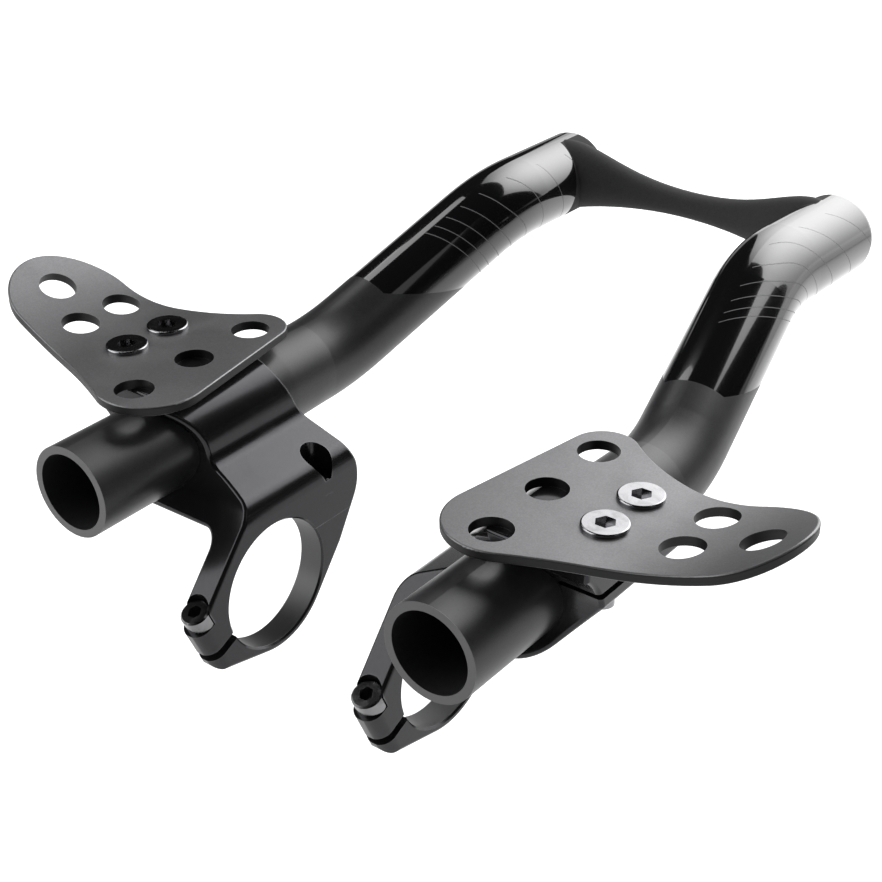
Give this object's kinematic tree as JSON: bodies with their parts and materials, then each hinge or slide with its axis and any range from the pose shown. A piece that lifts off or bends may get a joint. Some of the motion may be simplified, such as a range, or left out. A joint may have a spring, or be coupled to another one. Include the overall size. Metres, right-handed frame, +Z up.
{
  "type": "aero handlebar extension",
  "caption": "Clip-on bicycle aero bar: bent tubes bridged at the tips, in slit clamp brackets with split rings for a round handlebar and upturned armrest plates.",
  "frame": {"origin": "on the handlebar clamp's axis, midway between the two clamp rings", "axes": "+X to the rider's right along the handlebar, +Y forward along the tubes, +Z up"},
  "size_m": [0.213, 0.1859, 0.082],
  "materials": {
    "moulded_bar": "moulded carbon composite, satin at the rear and clear-coated at the front",
    "black_anodised": "satin black anodised",
    "grey_anodised": "satin dark grey anodised",
    "clamp_bolt_steel": "bright steel",
    "plate_screw_steel": "blackened steel"
  },
  "bodies": {
    "root": {"extension_bar": "moulded_bar", "left_bracket": "black_anodised", "left_bar_cap": "black_anodised", "left_rear_clamp_bolt": "clamp_bolt_steel", "left_front_clamp_bolt": "clamp_bolt_steel", "left_armrest_plate": "grey_anodised", "left_plate_screw_rear": "plate_screw_steel", "left_plate_screw_front": "plate_screw_steel", "right_bracket": "black_anodised", "right_bar_cap": "black_anodised", "right_rear_clamp_bolt": "clamp_bolt_steel", "right_front_clamp_bolt": "clamp_bolt_steel", "right_armrest_plate": "grey_anodised", "right_plate_screw_rear": "plate_screw_steel", "right_plate_screw_front": "plate_screw_steel"}
  },
  "joints": []
}
